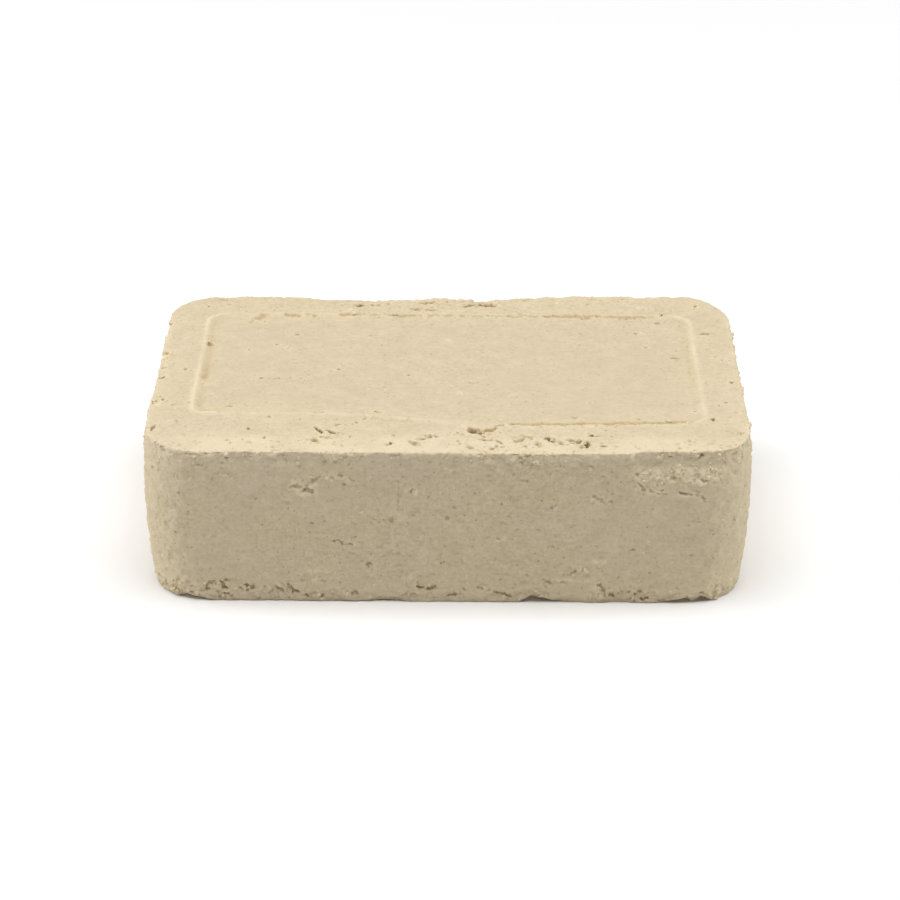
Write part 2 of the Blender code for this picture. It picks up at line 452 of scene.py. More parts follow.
def crevice(skin, path, width, depth=None, hollow_shade=0.8, warm=0.0, ragged=0.5, rim=0.45, lumpy=None):
    """A ragged crevice along a path, painted brown shade inside and warm shade round it, with a pale
    rim of crumbs.

    Places, width and depth are in millimetres. A path of one point is a pore. The more lumpy a
    crevice is, the more it falls into pits.
    """
    path = np.array(path, float).reshape(-1, 3) * MM
    through = 2 if np.isclose(path[0, 2], HEIGHT) else 1  # the axis that the crevice goes in along
    depth = (width * 1.1 if depth is None else depth) * MM
    width *= MM
    near = skin.beside(path, 2.5 * width + 1.2 * MM)
    at = skin.at[near] + skin.warp[near] * (ragged * (1.3 * width + 0.5 * MM))
    # on the way in, distance counts for a fifth
    at[:, through] += 0.8 * (path[0, through] - at[:, through])
    distance = np.linalg.norm(at - path[0], axis=1)
    run = np.zeros(len(near))
    lengths = np.linalg.norm(np.diff(path, axis=0), axis=1)
    total = lengths.sum()
    for index, length in enumerate(lengths):
        start, along = path[index], path[index + 1] - path[index]
        share = np.clip(((at - start) @ along) / length**2, 0, 1)
        apart = np.linalg.norm(at - start - share[:, None] * along, axis=1)
        closer = apart < distance
        distance[closer] = apart[closer]
        run[closer] = (lengths[:index].sum() + share[closer] * length) / total
    if len(path) > 1:  # narrower towards its ends
        distance = distance / (0.45 + 0.55 * np.sin(math.pi * (0.1 + 0.8 * run)))
    if lumpy is None:
        lumpy = 0.9 if len(path) > 1 else 0.15
    lumps = layered_noise(skin.at[near], (0.9 * MM, 0.7 * MM, 0.7 * MM), 2, 99, 0.8)
    distance = distance / width + 1.5 * lumpy * lumps
    hole = 1 - ramp(distance, 0.1, 1.0)
    crest = hump(distance, 1.4, 0.45)
    facing = np.abs(skin.normal[near, through])
    hole *= facing
    crest *= facing
    skin.out[near] -= hole * depth
    skin.out[near] += crest * rim * RIM_HEIGHT * MM
    # painted shade: brown deep in the hole, orange-brown round it
    skin.mark("hollow_shade", ramp(hole, 0.1, 0.75) * hollow_shade, near)
    skin.mark("warm", hump(distance, 0.2, 0.9) * warm, near)
    skin.mark("pale", crest * rim, near)
    skin.mark("crumbly", crest * rim * 0.8, near)


def ridge(skin, path, width, height, pale=0.7):
    """A raised streak of crumbs along a path, painted pale: their own paleness and painted highlight.
    """
    path = np.array(path, float) * MM
    width *= MM
    near = skin.beside(path, 3 * width)
    start, along = path[0], path[-1] - path[0]
    at = skin.at[near] + skin.warp[near] * width
    share = np.clip(((at - start) @ along) / (along @ along), 0, 1)
    raised = hump(np.linalg.norm(at - start - share[:, None] * along, axis=1), 0.0, width)
    skin.out[near] += raised * height * MM
    # painted highlight, with the crumbs' own paleness
    skin.mark("pale", raised * pale, near)
    skin.mark("crumbly", raised * 0.7, near)


def on_top(*points):
    """Places on the top; y keeps its distance from the front."""
    return [(x, y + FRONT_Y / MM - PLACES_FRONT_Y, HEIGHT / MM) for x, y in points]


def on_front(*points):
    """Places on the front, as x and z."""
    return [(x, FRONT_Y / MM + FRONT_SKIN, z) for x, z in points]


def cracks(skin, placed, rows):
    """A row says path, width, depth, dark, warm, ragged, rim and lumpy."""
    for path, width, depth, hollow_shade, warm, ragged, rim, lumpy in rows:
        crevice(skin, placed(*path), width, depth, hollow_shade, warm, ragged, rim, lumpy)


def crevices_of_the_top_front(skin):
    """The broken row of the front margin."""
    cracks(skin, on_top, (
        # the large crevice, and the dash and the open spot to its right
        (((5.3, -29.2), (6.8, -30.0), (8.6, -30.6)), 1.5, 2.4, 1.0, 0.6, 0.6, 0.6, 0.4),
        (((8.4, -30.4), (10.0, -30.0), (11.4, -28.8)), 1.1, 1.2, 0.45, 1.0, 0.6, 0.5, 0.6),
        (((11.8, -27.3), (13.6, -27.1)), 0.3, 0.4, 0.6, 0.3, 0.5, 0.45, 0.9),
        (((15.1, -26.6), (15.7, -26.6)), 0.85, 1.2, 1.0, 0.2, 0.5, 0.4, 0.4),
        # a crack that climbs from the margin to the panel
        (((-32.0, -28.2), (-29.6, -31.6)), 0.52, 0.8, 1.0, 0.0, 0.4, 0.45, 0.35),
        (((-29.2, -30.2), (-26.8, -31.2)), 0.62, 0.8, 1.0, 0.0, 0.4, 0.45, 0.4),
        (((-27.0, -27.5), (-25.0, -27.3)), 0.55, 0.4, 0.45, 0.4, 0.5, 0.45, 0.9),
        (((-22.9, -27.4), (-22.0, -25.8)), 0.42, 0.45, 0.6, 0.0, 0.5, 0.45, 0.9),
        (((-20.2, -24.5), (-19.8, -23.3)), 0.42, 0.4, 0.55, 0.0, 0.5, 0.45, 0.9),
    ))
    # where the margin crumbles away in front
    for path, width, hollow_shade, warm in (
        (((-33.0, -34.4), (-31.3, -35.0)), 0.6, 0.4, 0.9),
        (((-14.8, -36.4), (-13.2, -36.5)), 0.4, 0.7, 0.3),
        (((-9.3, -35.3), (-7.0, -36.6)), 0.55, 0.4, 0.9),
        (((-7.5, -34.0), (-5.6, -34.1)), 0.42, 0.8, 0.3),
        (((-5.0, -32.8), (-4.0, -32.6)), 0.45, 0.7, 0.3),
        (((-3.1, -32.8), (-2.2, -32.9)), 0.38, 0.6, 0.3),
        (((7.0, -33.5), (11.3, -33.8)), 0.32, 0.6, 0.2),
        (((12.2, -34.2), (13.2, -36.6)), 0.38, 0.7, 0.3),
        (((16.0, -34.3), (17.8, -33.8), (18.8, -32.2), (20.2, -33.5)), 0.55, 0.4, 0.9),
        (((23.2, -33.1), (24.2, -33.3)), 0.55, 0.9, 0.5),
        (((24.6, -34.2), (27.0, -34.3)), 0.5, 0.9, 0.6),
        (((28.7, -33.8), (30.4, -34.0)), 0.38, 0.5, 0.7),
        (((30.3, -34.7), (33.2, -35.0)), 0.62, 0.8, 1.0),
        (((32.7, -36.2), (34.2, -36.3)), 0.6, 0.95, 0.6),
        (((33.6, -30.5), (35.0, -32.2)), 0.45, 0.85, 0.2),
        (((36.7, -36.4), (38.3, -36.5)), 0.48, 0.85, 0.2),
        (((39.4, -36.7), (40.4, -36.7)), 0.4, 0.7, 0.2),
        (((70.0, -29.9), (71.3, -30.2)), 0.45, 0.5, 0.5),
    ):
        crevice(
            skin, on_top(*path), width * 1.35,
            depth=width * 1.6, hollow_shade=hollow_shade * 1.1, warm=warm, ragged=0.7, rim=0.7, lumpy=0.8,
        )
    # the crack that follows the right half of the panel's front line, painted orange-brown shade
    line = ((14.8, -26.4), (22.0, -26.5), (30.0, -26.2), (42.0, -25.6), (50.0, -25.4), (59.0, -24.9))
    cracks(skin, on_top, ((line, 0.85, 0.5, 0.25, 0.95, 0.35, 0.3, 0.55),))
    # a pale ridge in front of it, painted highlight
    ridge(skin, on_top((14.8, -27.9), (38.0, -27.3)), 0.6, 0.14, 0.5)
    ridge(skin, on_top((38.0, -27.3), (58.0, -26.2)), 0.5, 0.10, 0.4)
    cracks(skin, on_top, (
        (((-20.4, -23.4), (-14.5, -24.6), (-8.5, -25.8)), 0.8, 0.35, 0.1, 0.35, 0.5, 0.3, 0.8),
        (((-32.8, -21.0), (-30.0, -21.1)), 0.34, 0.35, 0.45, 0.2, 0.5, 0.45, 0.9),
        (((-18.2, -20.7), (-15.5, -20.7)), 0.32, 0.3, 0.45, 0.2, 0.5, 0.45, 0.9),
    ))


def crevices_of_the_top_back(skin):
    """Along the back edge and in the panel's back line."""
    for path, width, hollow_shade, warm in (
        (((-58.6, 38.9), (-56.4, 38.6)), 0.45, 0.45, 0.9),
        (((-24.4, 35.5), (-22.2, 35.4)), 0.7, 0.9, 0.5),
        (((-21.4, 35.4), (-18.5, 35.6)), 0.65, 0.8, 0.6),
        (((-15.8, 36.4), (-14.6, 36.4)), 0.55, 0.7, 0.4),
        (((-9.8, 33.3), (-7.4, 33.6)), 0.8, 0.2, 0.9),
        (((-6.4, 33.4), (-3.6, 33.5)), 0.7, 0.3, 0.9),
        (((-7.8, 37.7), (-4.3, 37.8)), 0.7, 0.85, 0.6),
        (((4.8, 37.1), (5.2, 35.2)), 0.95, 1.0, 0.8),
        (((5.4, 35.4), (8.0, 36.3), (11.9, 36.0)), 0.85, 0.7, 1.0),
        (((13.7, 36.5), (14.8, 36.4)), 0.6, 0.8, 0.5),
        (((19.2, 38.6), (20.4, 38.5)), 0.5, 0.5, 0.9),
        (((25.2, 39.2), (28.5, 39.3)), 0.42, 0.6, 0.7),
        (((44.2, 39.1), (45.1, 39.2)), 0.4, 0.5, 0.5),
    ):
        crevice(skin, on_top(*path), width * 1.15, hollow_shade=hollow_shade, warm=warm, ragged=0.7)
    # the panel's back line: a shallow groove, painted orange-brown shade
    for path, width, warm in (
        (((-50.0, 26.4), (-48.2, 28.6), (-46.0, 29.8)), 1.0, 0.8),
        (((-42.0, 29.7), (-38.0, 29.6)), 0.62, 0.7),
        (((-36.4, 29.9), (-34.0, 29.9)), 0.5, 0.6),
        (((-28.0, 30.2), (-22.0, 30.1)), 0.7, 1.0),
        (((-22.0, 30.1), (4.0, 30.0)), 0.45, 0.6),
        (((2.0, 30.0), (25.0, 29.9)), 0.38, 0.5),
        (((23.6, 30.0), (38.4, 29.9)), 0.6, 1.0),
        (((37.0, 29.9), (52.0, 29.8)), 0.42, 0.6),
    ):
        crevice(
            skin, on_top(*path), width * 1.3,
            depth=0.4, hollow_shade=0.25, warm=warm * 0.85, ragged=0.6, rim=0.4, lumpy=0.8,
        )


def chips_and_pores_of_the_top(skin):
    # chips at the ends, where the edge has crumbled
    for x, y, size, hollow_shade in (
        (-70.9, 25.3, 0.6, 0.7),
        (-70.9, 8.9, 1.0, 0.45),
        (-71.4, 3.3, 0.8, 0.5),
        (-70.2, -3.4, 0.8, 0.6),
        (-71.6, -16.4, 0.9, 0.8),
        (-71.2, -29.6, 0.6, 0.6),
        (-60.1, 14.0, 0.6, 0.35),
        (69.9, 6.4, 0.75, 0.8),
        (70.1, -4.6, 0.6, 0.7),
        (62.9, 35.4, 0.55, 0.7),
        (54.2, 31.2, 0.6, 0.7),
    ):
        crevice(
            skin, on_top((x, y - 0.4), (x + 0.2, y + 0.4)), size * 1.15,
            hollow_shade=hollow_shade * 1.1, warm=0.5, ragged=0.8, rim=0.9,
        )
    # single pores, the darkest first
    for x, y, size, hollow_shade in (
        (64.0, -23.6, 0.62, 0.95),
        (-47.8, -29.5, 0.55, 0.95),
        (49.6, 13.4, 0.55, 0.95),
        (-35.5, -5.1, 0.55, 0.85),
        (-69.4, -15.4, 0.55, 0.8),
        (2.5, -30.7, 0.5, 0.9),
        (55.0, -35.6, 0.5, 0.85),
        (57.9, -33.7, 0.5, 0.7),
        (-61.4, 34.4, 0.5, 0.7),
        (-65.4, 0.6, 0.5, 0.75),
        (-63.9, 0.0, 0.45, 0.65),
        (-65.3, -25.7, 0.45, 0.65),
        (-63.0, -16.7, 0.5, 0.6),
        (-70.2, -13.6, 0.42, 0.5),
        (66.0, -16.5, 0.45, 0.6),
        (68.0, -15.1, 0.48, 0.75),
        (-43.1, 13.6, 0.42, 0.6),
        (-49.8, 11.3, 0.4, 0.55),
        (-12.8, -32.3, 0.42, 0.65),
        (-26.2, -32.0, 0.45, 0.6),
        (34.5, -15.4, 0.4, 0.45),
        (-43.2, -23.3, 0.4, 0.45),
        (-52.8, -35.0, 0.4, 0.6),
        (-43.9, -33.8, 0.4, 0.6),
        (47.3, 21.2, 0.5, 0.6),
        (66.5, 8.7, 0.42, 0.5),
        (-42.0, 21.1, 0.42, 0.5),
        (0.2, -32.1, 0.35, 0.6),
        (3.9, -31.8, 0.35, 0.5),
    ):
        crevice(
            skin, on_top((x - 0.2, y), (x + 0.2, y)), size * 1.25,
            depth=size * 1.5, hollow_shade=hollow_shade * 1.1, warm=0.4, ragged=0.6, rim=0.5, lumpy=0.4,
        )
    # short dashes along the grain
    for x, y, length, hollow_shade in (
        (-27.3, 0.9, 1.2, 0.75),
        (-38.8, 19.5, 1.2, 0.5),
        (-5.1, 25.3, 1.2, 0.45),
        (-10.5, -1.7, 1.2, 0.5),
        (5.6, -5.4, 1.4, 0.45),
        (52.0, 26.7, 1.4, 0.55),
        (55.5, 7.8, 1.9, 0.45),
        (62.4, 20.8, 3.2, 0.55),
        (-53.8, -18.3, 1.0, 0.5),
        (30.0, -22.9, 1.3, 0.4),
    ):
        crevice(
            skin, on_top((x, y), (x + length, y)), 0.55,
            depth=0.45, hollow_shade=hollow_shade * 1.1, warm=0.3, ragged=0.6, rim=0.3, lumpy=0.6,
        )
    # a faint row of uneven dots in the left half of the panel
    for step in range(9):
        along = -49.0 + 1.45 * step + 0.5 * math.sin(5.0 * step)
        place = (along, -3.5 + 0.3 * math.sin(3.0 * step))
        crevice(
            skin, on_top(place), 0.5,
            depth=0.25, hollow_shade=0.25 + 0.15 * (step % 3), warm=0.2, ragged=0.9, rim=0.2, lumpy=0.7,
        )


def crevices_of_the_front(skin):
    cracks(skin, on_front, (
        # a cavity under the top edge, with a curved crack above it
        (((-37.2, 32.6), (-35.0, 32.4)), 0.8, 0.35, 0.15, 0.1, 0.9, 1.0, 1.0),
        (((-34.6, 32.2), (-31.8, 31.5)), 0.8, 0.45, 0.2, 0.1, 0.9, 1.2, 0.9),
        (((-33.4, 33.3), (-30.9, 34.6), (-27.8, 34.9)), 0.6, 0.3, 0.12, 0.1, 0.9, 1.0, 1.1),
        (((-26.0, 35.4), (-25.3, 35.1)), 0.6, 0.35, 0.2, 0.1, 0.9, 1.0, 0.9),
        # the left end of the crumbled band on the right
        (((45.4, 34.6), (46.2, 33.4), (47.4, 32.1)), 0.6, 0.3, 0.15, 0.1, 0.9, 1.0, 1.1),
    ))
    # pits in the crumbled band
    for x, z, size in ((49.6, 33.6, 0.6), (53.7, 35.1, 0.8), (58.4, 35.0, 0.7), (60.8, 34.6, 0.7)):
        crevice(
            skin, on_front((x, z), (x + 0.8, z - 0.1)), size * 0.8,
            depth=0.35, hollow_shade=0.2, warm=0.1, ragged=0.9, rim=1.0,
        )
    cracks(skin, on_front, (
        # a crack below the crumbled band
        (((48.6, 32.0), (52.4, 31.0)), 0.55, 0.3, 0.15, 0.1, 0.9, 1.0, 1.1),
        (((55.4, 31.3), (58.6, 30.9)), 0.6, 0.4, 0.3, 0.1, 0.9, 0.8, 0.9),
        (((59.4, 30.8), (62.4, 29.2)), 0.5, 0.25, 0.12, 0.1, 0.9, 0.6, 1.1),
        (((58.2, 23.4), (60.6, 23.5)), 0.4, 0.25, 0.15, 0.0, 0.8, 0.2, 1.0),
        # a forked crack
        (((35.0, 30.8), (36.5, 29.2), (39.0, 28.4)), 0.6, 0.3, 0.15, 0.0, 1.0, 0.9, 1.2),
        (((36.4, 29.2), (35.3, 28.0)), 0.5, 0.3, 0.15, 0.0, 0.9, 0.6, 0.9),
        # a fine upright crack, and a pit
        (((-11.6, 34.2), (-11.7, 29.0), (-11.9, 24.4)), 0.34, 0.25, 0.2, 0.0, 0.3, 0.2, 0.5),
        (((-8.9, 31.9), (-8.2, 30.8)), 0.7, 0.45, 0.25, 0.1, 0.9, 1.0, 0.9),
    ))
    # short cracks and pits of the wall
    for x, z, length, hollow_shade in (
        (-27.9, 17.0, 0.6, 0.8),
        (-25.9, 16.8, 0.4, 0.6),
        (-24.2, 16.5, 1.4, 0.55),
        (-19.2, 10.4, 0.5, 0.7),
        (-17.2, 10.2, 0.5, 0.6),
        (-17.4, 23.4, 0.6, 0.4),
        (-15.6, 23.9, 0.8, 0.4),
        (-12.6, 23.6, 0.7, 0.5),
        (-9.6, 23.2, 0.5, 0.5),
        (24.0, 27.0, 1.0, 0.4),
        (12.0, 18.0, 1.0, 0.3),
        (44.0, 15.0, 1.0, 0.35),
        (58.8, 14.2, 1.2, 0.4),
        (4.1, 4.3, 0.5, 0.7),
        (64.9, 4.2, 0.6, 0.6),
        (54.5, 3.4, 0.6, 0.6),
    ):
        crevice(
            skin, on_front((x, z), (x + length, z - 0.08 * length)), 0.45,
            depth=0.32, hollow_shade=hollow_shade * 0.55, warm=0.1, ragged=0.9, rim=0.4, lumpy=1.0,
        )
    # the row of crevices above the foot
    for path, width, hollow_shade in (
        (((-58.6, 3.6), (-58.0, 5.2), (-56.0, 5.8)), 0.4, 0.6),
        (((-55.0, 5.4), (-53.4, 3.8)), 0.75, 0.8),
        (((-49.0, 4.0), (-46.0, 3.8)), 0.62, 0.8),
        (((-41.2, 4.2), (-39.4, 2.9)), 0.55, 0.75),
        (((-38.0, 4.3), (-37.4, 2.9), (-36.2, 2.3)), 0.62, 0.85),
        (((-34.3, 2.2), (-33.8, 1.6)), 0.5, 0.8),
        (((-30.9, 1.4), (-29.6, 1.2)), 0.5, 0.85),
        (((-23.1, 2.5), (-21.8, 2.2)), 0.5, 0.7),
        (((-15.4, 1.0), (-12.8, 0.9)), 0.4, 0.6),
        (((-10.5, 1.7), (-8.0, 2.6)), 0.48, 0.8),
        (((-7.2, 4.9), (-6.0, 4.0)), 0.55, 0.8),
        (((-4.8, 3.5), (-2.6, 4.2)), 0.55, 0.75),
        (((0.4, 1.7), (3.0, 2.6)), 0.42, 0.7),
        (((7.7, 4.3), (10.7, 3.4)), 0.4, 0.5),
        (((11.4, 3.1), (15.4, 1.8)), 0.4, 0.55),
        (((23.4, 6.6), (25.0, 5.9)), 0.4, 0.3),
        (((27.4, 6.0), (28.6, 6.1)), 0.3, 0.2),
        (((30.3, 8.6), (31.0, 8.9)), 0.45, 0.4),
        (((32.6, 9.6), (33.2, 9.3)), 0.4, 0.35),
        (((37.0, 5.5), (37.8, 3.4), (38.6, 1.7)), 0.45, 0.6),
        (((38.8, 1.4), (41.0, 1.9)), 0.48, 0.8),
        (((47.5, 1.2), (48.8, 1.1)), 0.62, 0.95),
    ):
        crevice(
            skin, on_front(*path), width * 1.1,
            depth=width * 0.9, hollow_shade=hollow_shade * 0.45, warm=0.35, ragged=0.9, rim=1.0, lumpy=1.0,
        )


def pale_places(skin):
    """Raised crumbs and streaks that stand out from the skin, painted pale: the crumbs' own paleness
    and painted highlight.
    """
    for x, y, size in (
        (-40.1, 12.1, 0.9),
        (-60.1, -6.8, 1.2),
        (-0.2, 16.6, 1.1),
        (3.0, -10.7, 1.0),
        (60.0, -19.6, 1.3),
        (-70.2, 6.0, 1.4),
        (-70.4, 0.6, 1.2),
        (35.0, 38.6, 1.2),
        (-29.3, -33.0, 1.2),
        (-27.6, -33.8, 1.1),
        (4.3, -27.5, 1.1),
        (-25.0, 32.4, 1.5),
        (48.4, 21.0, 0.8),
    ):
        ridge(skin, on_top((x - 0.4, y), (x + 0.4, y)), size * 0.6, 0.2)
    for start, end, size in (
        ((-33.4, 8.7), (-29.0, 8.7), 0.6),
        ((-9.0, 6.6), (-7.6, 8.2), 0.7),
        ((36.0, 11.8), (38.0, 11.9), 0.8),
        ((36.2, 5.4), (37.2, 1.4), 0.6),
        ((66.2, 26.4), (67.4, 25.4), 0.4),
        ((-68.0, 3.4), (-66.6, 2.6), 1.3),
        ((65.0, 4.0), (67.6, 1.8), 1.2),
        ((-36.0, 30.6), (-31.5, 30.2), 0.5),
        ((23.6, 6.7), (35.5, 6.2), 0.5),
        ((-36.6, 34.2), (-31.0, 33.0), 0.7),
        ((-27.4, 35.2), (-23.8, 34.4), 0.8),
    ):
        ridge(skin, on_front(start, end), size, 0.16, 0.85)


def crumbling_zones(skin):
    """Loose grains with gaps between them, round the foot, under the top edge and on the margins."""
    x, y, z = skin.at.T
    low_band = hump(z, 2.4 * MM, 3.3 * MM)
    high_band = hump(z, HEIGHT - 1.6 * MM, 2.6 * MM) + 0.5 * hump(z, HEIGHT - 7.2 * MM, 1.3 * MM)
    back_margin = skin.top * ramp(y, 32 * MM, 37 * MM) * (hump(x, 2 * MM, 30 * MM) + 0.3)
    front_margin = skin.top * ramp(-y, 30.5 * MM, 36.5 * MM) * (0.35 + 0.75 * hump(x, 14 * MM, 34 * MM))
    end_margin = skin.top * ramp(np.abs(x), 65.5 * MM, 71 * MM) * 0.35
    zone = skin.wall * np.clip(low_band + high_band, 0, 1)
    zone = np.maximum.reduce([zone, back_margin * 0.8, front_margin * 0.9, end_margin])
    there = np.nonzero(zone > 0.04)[0]
    at, share = skin.at[there], zone[there]
    stretches = layered_noise(at, (15 * MM, 15 * MM, 50 * MM), 2, 67)
    share = share * (0.3 + 0.7 * ramp(stretches, -0.35, 0.2))
    at_the_foot = ramp(-z[there], -9 * MM, -5 * MM)
    for size, lift, depth, seed in ((2.2, 0.38, 0.65, 61), (1.3, 0.26, 0.5, 65)):
        cell = (1.2 * size * MM, 1.1 * size * MM, 0.8 * size * MM)
        distance, own = nearest_seed(at + skin.warp[there] * 0.35 * size * MM, cell, seed)
        grain = 1 - ramp(distance, 0.15, 0.8)
        level = refolded(own)
        missing = (own < 0.15 + 0.1 * at_the_foot) * (1 - ramp(distance, 0.12, 0.5)) * share
        skin.out[there] += share * (grain * level - 0.8) * lift * MM
        skin.out[there] -= missing * depth * MM
        # painted shade, brown and orange-brown, in the gaps between grains; the higher grains are
        # painted paler, as painted highlight with the crumbs' own paleness
        skin.mark("hollow_shade", missing * (0.4 + 0.1 * at_the_foot + 0.3 * skin.top[there]), there)
        skin.mark("warm", missing * 0.7, there)
        skin.mark("pale", share * grain * level * (0.7 + 0.25 * at_the_foot), there)
    stain = ramp(layered_noise(at, 4 * MM, 2, 69), 0.0, 0.5) * skin.top[there]
    skin.mark("warm", share * stain * 0.45, there)
    skin.mark("rough", share, there)
    skin.mark("crumbly", share * 0.5, there)
    skin.mark("pale", 0.45 * low_band * skin.wall)


def crumbled_ledge(skin):
    """At the front's right the wall leans back under the top edge; a band there is painted pale, as
    pale crumbs and painted highlight.
    """
    x, y, z = skin.at.T / MM
    ragged = 1.4 * skin.warp[:, 2]
    along = ramp(x + ragged, 43.5, 47.0) * (1 - ramp(x + ragged, 62.0, 70.0))
    along *= 1 - ramp(y - FRONT_Y / MM, 1.5, 6.0)
    skin.push[:, 1] += 1.2 * MM * along * ramp(z + ragged, 33.4, 38.6)
    # the band is painted pale: the crumbs' own paleness and painted highlight
    band = ramp(z + ragged, 33.9, 35.0) * (1 - ramp(z + ragged, 37.0, 38.2)) * along
    skin.mark("pale", band)
    skin.mark("crumbly", band)


def scattered_pores(skin):
    """Pores of several sizes, sparse and drawn out along X."""
    for size, share, depth, seed in (
        (4.4, 0.20, 0.36, 101),
        (2.6, 0.16, 0.28, 103),
        (1.6, 0.14, 0.20, 107),
    ):
        cell = (size * 1.4 * MM, size * MM, size * MM)
        distance, own = nearest_seed(skin.at + skin.warp * 0.2 * size * MM, cell, seed)
        radius = 0.06 + 0.09 * refolded(own)
        hole = (own < share) * (1 - ramp(distance, radius * 0.4, radius * 1.6))
        strength = (0.2 + 0.8 * refolded(own, 91)) * (0.3 + 0.7 * skin.rough)
        skin.out -= hole * strength * depth * MM * (1 - skin.base)
        # painted shade in the pores, brown and orange-brown
        skin.mark("hollow_shade", hole * strength * 0.5)
        skin.mark("warm", hole * 0.25)


FOOT_NOTCHES = (  # along X: left end, highest point, right end; then the rise, all in millimetres
    (-66.2, -63.5, -55.5, 1.4),
    (17.4, 20.4, 27.4, 2.0),
    (51.6, 58.2, 60.4, 1.5),
    (59.0, 61.8, 64.6, 1.9),
)


def foot_notches(skin):
    """Places where the front foot stands clear of the table."""
    x, y, z = skin.at.T / MM
    ragged = skin.warp[:, 1] * 0.35
    inside = 1 - ramp(y - FRONT_Y / MM + ragged, 1.5, 5.5)
    rise = np.zeros(len(x))
    for left, peak, right, height in FOOT_NOTCHES:
        climb = np.minimum((x + ragged - left) / (peak - left), (right - x - ragged) / (right - peak))
        rise = np.maximum(rise, np.clip(climb, 0, 1) * height)
    skin.at[:, 2] += rise * inside * np.clip(1 - z / 4.0, 0, 1) * MM
    skin.mark("crumbly", ramp(rise, 0.2, 0.6) * inside * (z < 3.0) * 0.6)


def thin_out(skin):
    """Fewer triangles where the skin is plain; the grid of pores and cracks is kept as it is."""
    piece = skin.piece
    plain = piece.vertex_groups.new(name="plain")
    plain.add(np.nonzero(skin.hollow_shade < KEPT_DARKNESS)[0].tolist(), 1.0, "REPLACE")
    corners = np.empty(len(piece.data.polygons), np.int32)
    piece.data.polygons.foreach_get("loop_total", corners)
    triangles = int((corners - 2).sum())
    step = piece.modifiers.new("Thin out", "DECIMATE")
    step.ratio = FINAL_TRIANGLES / triangles
    step.vertex_group = plain.name
    apply_modifiers(piece)
    piece.vertex_groups.clear()
    move_points(piece.data, inside_the_box(read_vectors(piece.data.vertices, "co")))


def halva_skin():
    block = plain_block()
    remesh(block)
    skin = Skin(block)
    slow_unevenness(skin)
    pressed_panel(skin)
    broken_edges(skin)
    scraped_grain(skin)
    crumbling_zones(skin)
    crevices_of_the_top_front(skin)
    crevices_of_the_top_back(skin)
    chips_and_pores_of_the_top(skin)
    crevices_of_the_front(skin)
    pale_places(skin)
    crumbled_ledge(skin)
    scattered_pores(skin)
    foot_notches(skin)
    skin.finish()
    return skin


# ---------------------------------------- crumbs
def lump(seed):
    """Points and faces of one irregular lump, about 1 across."""
    shell = bmesh.new()
    bmesh.ops.create_icosphere(shell, subdivisions=2, radius=0.5)
    points = np.array([vert.co[:] for vert in shell.verts])
    faces = np.array([[vert.index for vert in face.verts] for face in shell.faces])
    shell.free()
    swollen = 1 + 0.45 * smooth_noise(points * 2.3, seed) + 0.25 * smooth_noise(points * 5.1, seed + 1)
    return points * swollen[:, None], faces


def placed_crumbs():
    """The larger crumbs: where they are and how big, in millimetres."""
    on_the_wall = (
        (66.2, 3.2, 1.0),
        (67.4, 1.7, 1.2),
        (65.0, 4.4, 0.8),
        (68.4, 2.6, 0.9),
        (64.6, 1.5, 1.0),
        (66.6, 0.9, 0.9),
        (-67.4, 3.1, 1.5),
        (-66.2, 1.5, 1.2),
        (-68.6, 1.4, 1.1),
        (-8.2, 7.4, 1.0),
        (-7.5, 6.4, 0.9),
        (36.9, 4.4, 1.0),
        (37.3, 3.2, 0.9),
        (37.1, 11.9, 1.2),
        (-36.4, 30.9, 1.1),
        (-34.6, 30.2, 0.9),
        (48.0, 34.4, 1.3),
        (51.0, 34.0, 1.1),
        (57.5, 33.9, 1.2),
        (60.5, 33.7, 1.0),
    )
    on_the_top = (
        (-40.1, 12.1, 0.9),
        (-60.1, -6.8, 1.1),
        (60.0, -19.6, 1.1),
        (-70.3, 6.2, 1.5),
        (-70.7, 1.0, 1.3),
        (-69.8, -1.2, 0.9),
        (-25.0, 32.6, 1.4),
        (-27.5, 32.4, 1.0),
        (-29.3, -33.0, 1.3),
        (-27.6, -33.8, 1.1),
        (4.3, -27.5, 1.0),
        (22.4, -35.6, 1.3),
        (28.2, -35.6, 1.2),
        (19.0, -35.4, 1.2),
        (9.2, -35.4, 1.0),
        (-4.0, -35.4, 1.1),
        (-18.0, -34.8, 1.0),
        (48.4, 21.4, 0.8),
    )
    places = [(on_front((x, z))[0], size) for x, z, size in on_the_wall]
    return places + [(on_top((x, y))[0], size) for x, y, size in on_the_top]


